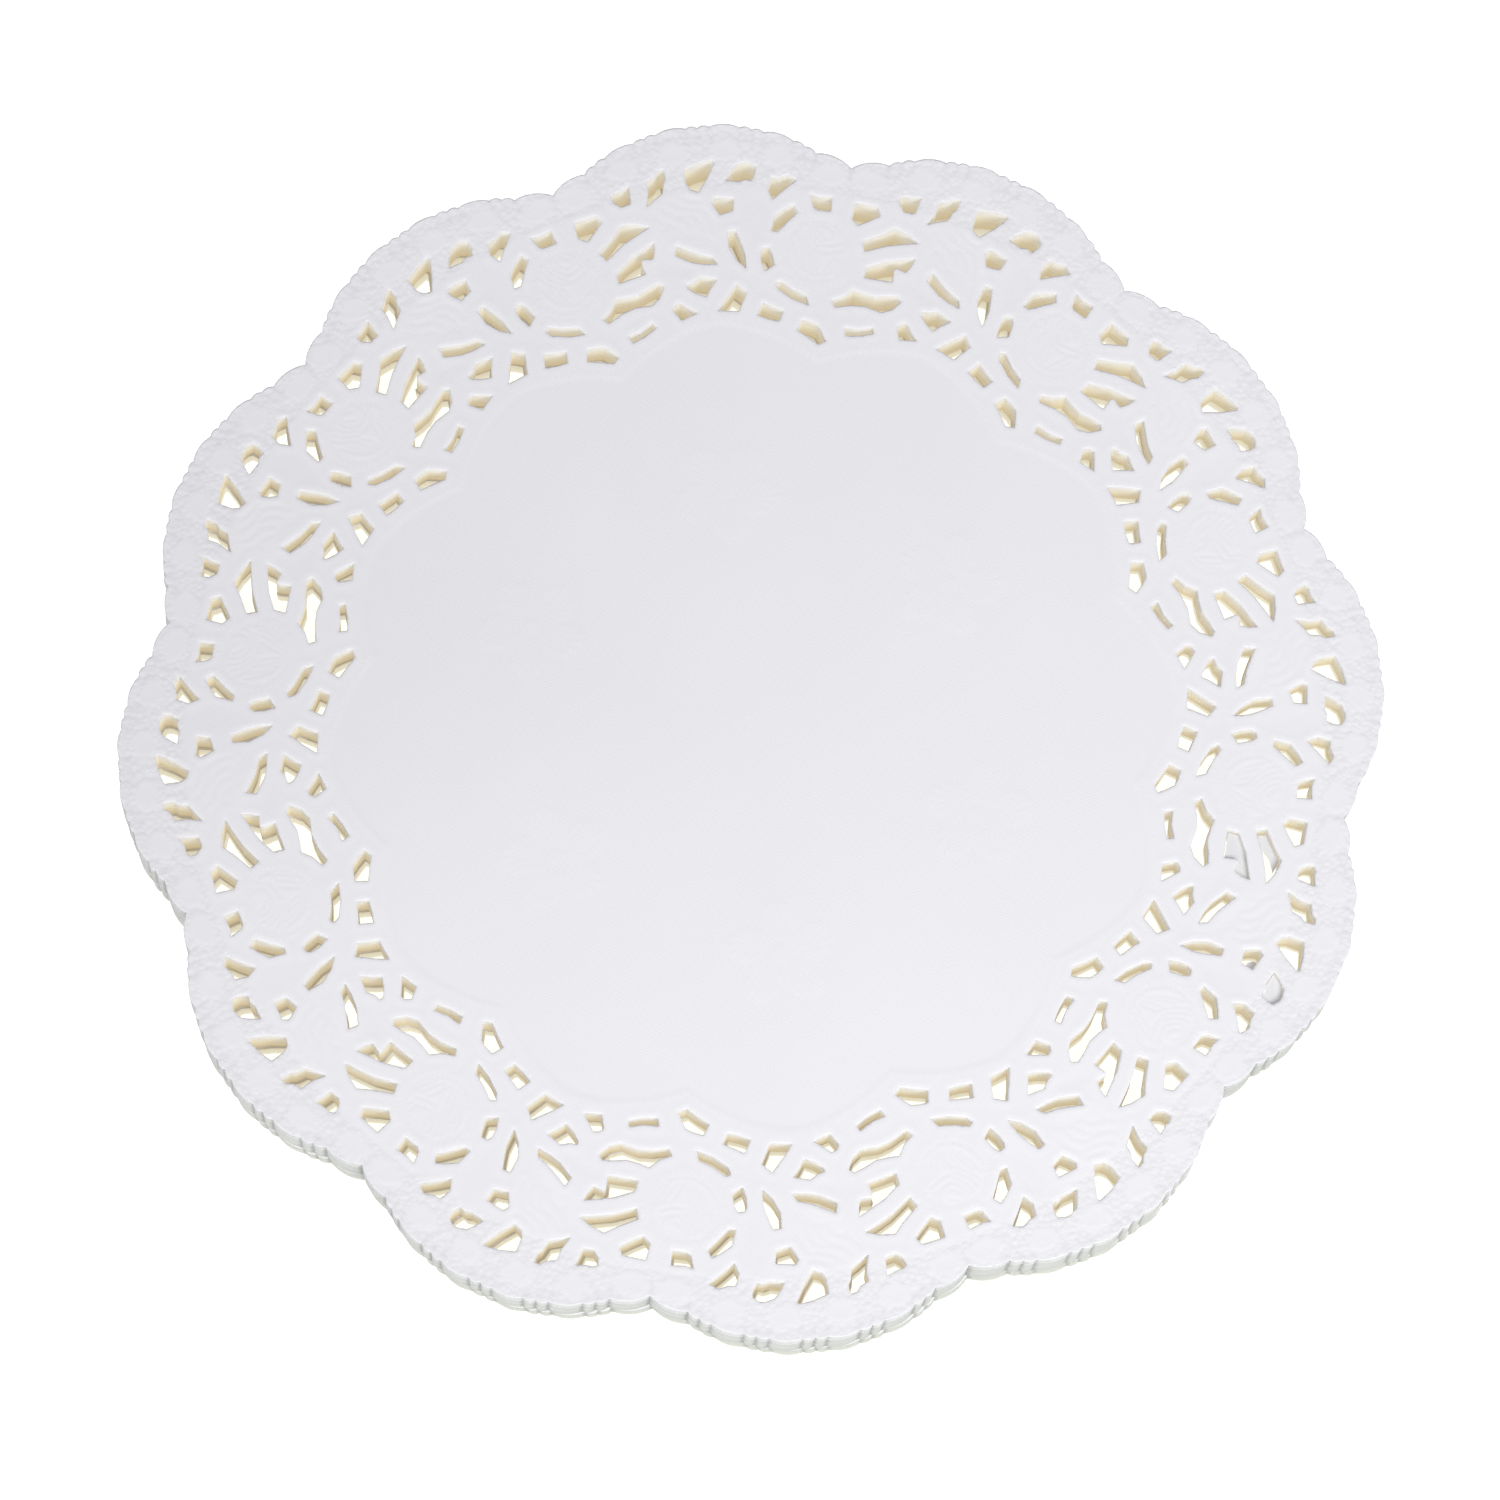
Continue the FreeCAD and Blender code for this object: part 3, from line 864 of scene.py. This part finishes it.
def cut_edge(name, stops, matt, glow, crease_shade):
    """The cut edges of many sheets, one over another. stops gives the colour down the pack, which
    is partly painted light and shade.

    matt is how much of that colour takes light from outside. The glow is painted light: it stands
    for the light that comes through the stacked paper. crease_shade is painted shade at the
    notches."""
    nodes = Nodes(name)
    nodes.shader.inputs["Roughness"].default_value = 0.88
    nodes.shader.inputs["Specular IOR Level"].default_value = 0.2
    wander = nodes.math("MULTIPLY_ADD", nodes.noise(160.0), 0.05, -0.025)
    depth = nodes.math("ADD", nodes.attribute("depth"), wander)
    sheets = nodes.bands(SHEET_PERIOD, "Z")
    rough = nodes.noise(1.0, 4.0, nodes.stretched(WALL_SCALE))
    shade = nodes.math("MULTIPLY_ADD", rough, 0.08, 0.96)
    shade = nodes.math("MULTIPLY_ADD", sheets, -0.04, shade)
    # Painted shade at the notches of the rim.
    shade = nodes.math("MULTIPLY_ADD", nodes.attribute("crease"), -crease_shade, shade)
    colour = nodes.tint(nodes.ramp(depth, stops), shade)
    nodes.link(nodes.tint(colour, matt), nodes.shader.inputs["Base Color"])
    nodes.link(colour, nodes.shader.inputs["Emission Color"])
    nodes.shader.inputs["Emission Strength"].default_value = glow
    height = nodes.math("MULTIPLY", sheets, 0.02)
    nodes.bump(nodes.math("MULTIPLY_ADD", rough, 0.025, height))
    return nodes.material


FACE = paper_face()
# Painted light and shade in the openings: the upper block's walls warm to tan and darken with
# depth, for the light bounced between the walls, and the lower block's are a paler cream, for the
# light from the table below.
UPPER_CUT = cut_edge("cut_upper", [(0.0, (0.76, 0.74, 0.72)), (0.10, (0.77, 0.745, 0.67)),
                                   (0.35, (0.76, 0.69, 0.53)), (0.64, (0.69, 0.59, 0.39))],
                     0.64, 0.46, 0.0)
LOWER_CUT = cut_edge("cut_lower", [(0.6, (0.77, 0.73, 0.61)), (1.0, (0.81, 0.785, 0.69))],
                     0.70, 0.42, 0.0)
# Painted shade: the rim's edges are drawn a grey far below the paper's own white, for the shade on
# the pack's outer wall; the lower block's edge turns lighter at its foot.
UPPER_RIM = cut_edge("rim_upper", [(0.0, (0.46, 0.47, 0.452)), (0.7, (0.43, 0.442, 0.415))],
                     0.80, 0.26, 0.35)
LOWER_RIM = cut_edge("rim_lower", [(0.6, (0.44, 0.452, 0.416)), (0.9, (0.48, 0.49, 0.445)),
                                   (1.0, (0.70, 0.71, 0.64))], 0.80, 0.26, 0.3)


BOOK_STEPS = 5                   # stretches of wall down one book
STRAY = 0.03                     # how far an edge strays, in millimetres

chance = random.Random(5)
for entry in frame["record"]["subparts"]:
    name = entry["node"]
    low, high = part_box(name)
    bottom, top = low[2] / MM / CAD_HEIGHT, high[2] / MM / CAD_HEIGHT
    lower = name.startswith("lower")
    turn = LOWER_TURN if lower else 0.0
    shift = LEAN * (1.0 if lower else (1 - bottom) / (1 - LOWER_SHARE))
    shift = shift + [chance.uniform(-STRAY, STRAY), chance.uniform(-STRAY, STRAY)]
    if name.startswith("doily"):
        best = name == "doily_16"
        obj = build(name + "_paper", TOP_PLAN if best else UNDER_PLAN, UNDER_PLAN,
                    [(top, 0.0), (bottom, 0.0)], shift, turn, embossed=best)
    else:
        levels = [(top, chance.uniform(-STRAY, STRAY))]
        levels += [(top + (bottom - top) * step / BOOK_STEPS, chance.uniform(-STRAY, STRAY))
                   for step in range(1, BOOK_STEPS)]
        levels += [(bottom, 0.0)]
        obj = build(name + "_paper", BOOK_PLAN, BOOK_PLAN, levels, shift, turn)
    for material in (FACE, LOWER_CUT if lower else UPPER_CUT, LOWER_RIM if lower else UPPER_RIM):
        obj.data.materials.append(material)
    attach(obj, name)
    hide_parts(name)

# ---------------------------------------------------------------------------------------------
# Floor, light and camera
# ---------------------------------------------------------------------------------------------
SIDE = 30.0                      # half the side of the table, which runs out of sight, in metres
floor_mesh = bpy.data.meshes.new("floor")
floor_mesh.from_pydata([(-SIDE, -SIDE, 0), (SIDE, -SIDE, 0), (SIDE, SIDE, 0), (-SIDE, SIDE, 0)],
                       [], [(0, 1, 2, 3)])
floor = bpy.data.objects.new("floor", floor_mesh)
floor.location.z = -0.0001       # a hair under the pack, so that the two faces don't meet
bpy.context.scene.collection.objects.link(floor)
table = Nodes("white_table")
table.shader.inputs["Base Color"].default_value = (0.92, 0.92, 0.91, 1)
table.shader.inputs["Roughness"].default_value = 0.9
# The table glows, so that it stays white round the pack, and less so under the lace, where its
# cream glow is painted light: the warm light the paper bounces into the openings.
from_middle = table.add("ShaderNodeVectorMath", operation="LENGTH")
table.link(table.place, from_middle.inputs[0])
glow = table.ramp(from_middle.outputs["Value"], [(0.139, (0.77, 0.765, 0.675)), (0.146, (1, 1, 1))])
table.link(glow, table.shader.inputs["Emission Color"])
table.shader.inputs["Emission Strength"].default_value = 0.75
floor_mesh.materials.append(table.material)

world = bpy.data.worlds.new("studio")
bpy.context.scene.world = world
world.use_nodes = True
world.node_tree.nodes["Background"].inputs[0].default_value = (1.0, 0.965, 1.02, 1)
world.node_tree.nodes["Background"].inputs[1].default_value = 0.485


def softbox(name, at, size, energy, colour):
    """A round soft light that faces the pack."""
    data = bpy.data.lights.new(name, "AREA")
    data.shape = "DISK"
    data.size = size
    data.energy = energy
    data.color = colour
    lamp = bpy.data.objects.new(name, data)
    bpy.context.scene.collection.objects.link(lamp)
    at = Vector(at)
    lamp.matrix_world = Matrix.LocRotScale(at, (-at).to_track_quat("-Z", "Y"), None)


softbox("key_light", (0.17, -0.60, 0.68), 0.5, 5.55, (0.98, 1.0, 0.975))
softbox("side_light", (-1.35, -0.45, 0.45), 0.8, 6.8, (0.98, 1.0, 0.975))

camera_data = bpy.data.cameras.new("camera")
camera_data.lens = 123.06
camera_data.sensor_width = 36
camera_data.clip_start = 0.01
camera_data.clip_end = 50
camera = bpy.data.objects.new("camera", camera_data)
bpy.context.scene.collection.objects.link(camera)
EYE = Vector((-0.14106, -0.34598, 1.16377 + MIDDLE_HEIGHT * MM))
AIM = Vector((-0.00353, -0.00693, MIDDLE_HEIGHT * MM))
ROLL = math.radians(1.8433)
rotation = (AIM - EYE).to_track_quat("-Z", "Y").to_matrix() @ Matrix.Rotation(ROLL, 3, "Z")
camera.matrix_world = Matrix.LocRotScale(EYE, rotation.to_quaternion(), None)
bpy.context.scene.camera = camera
bpy.context.scene.view_settings.view_transform = "Standard"
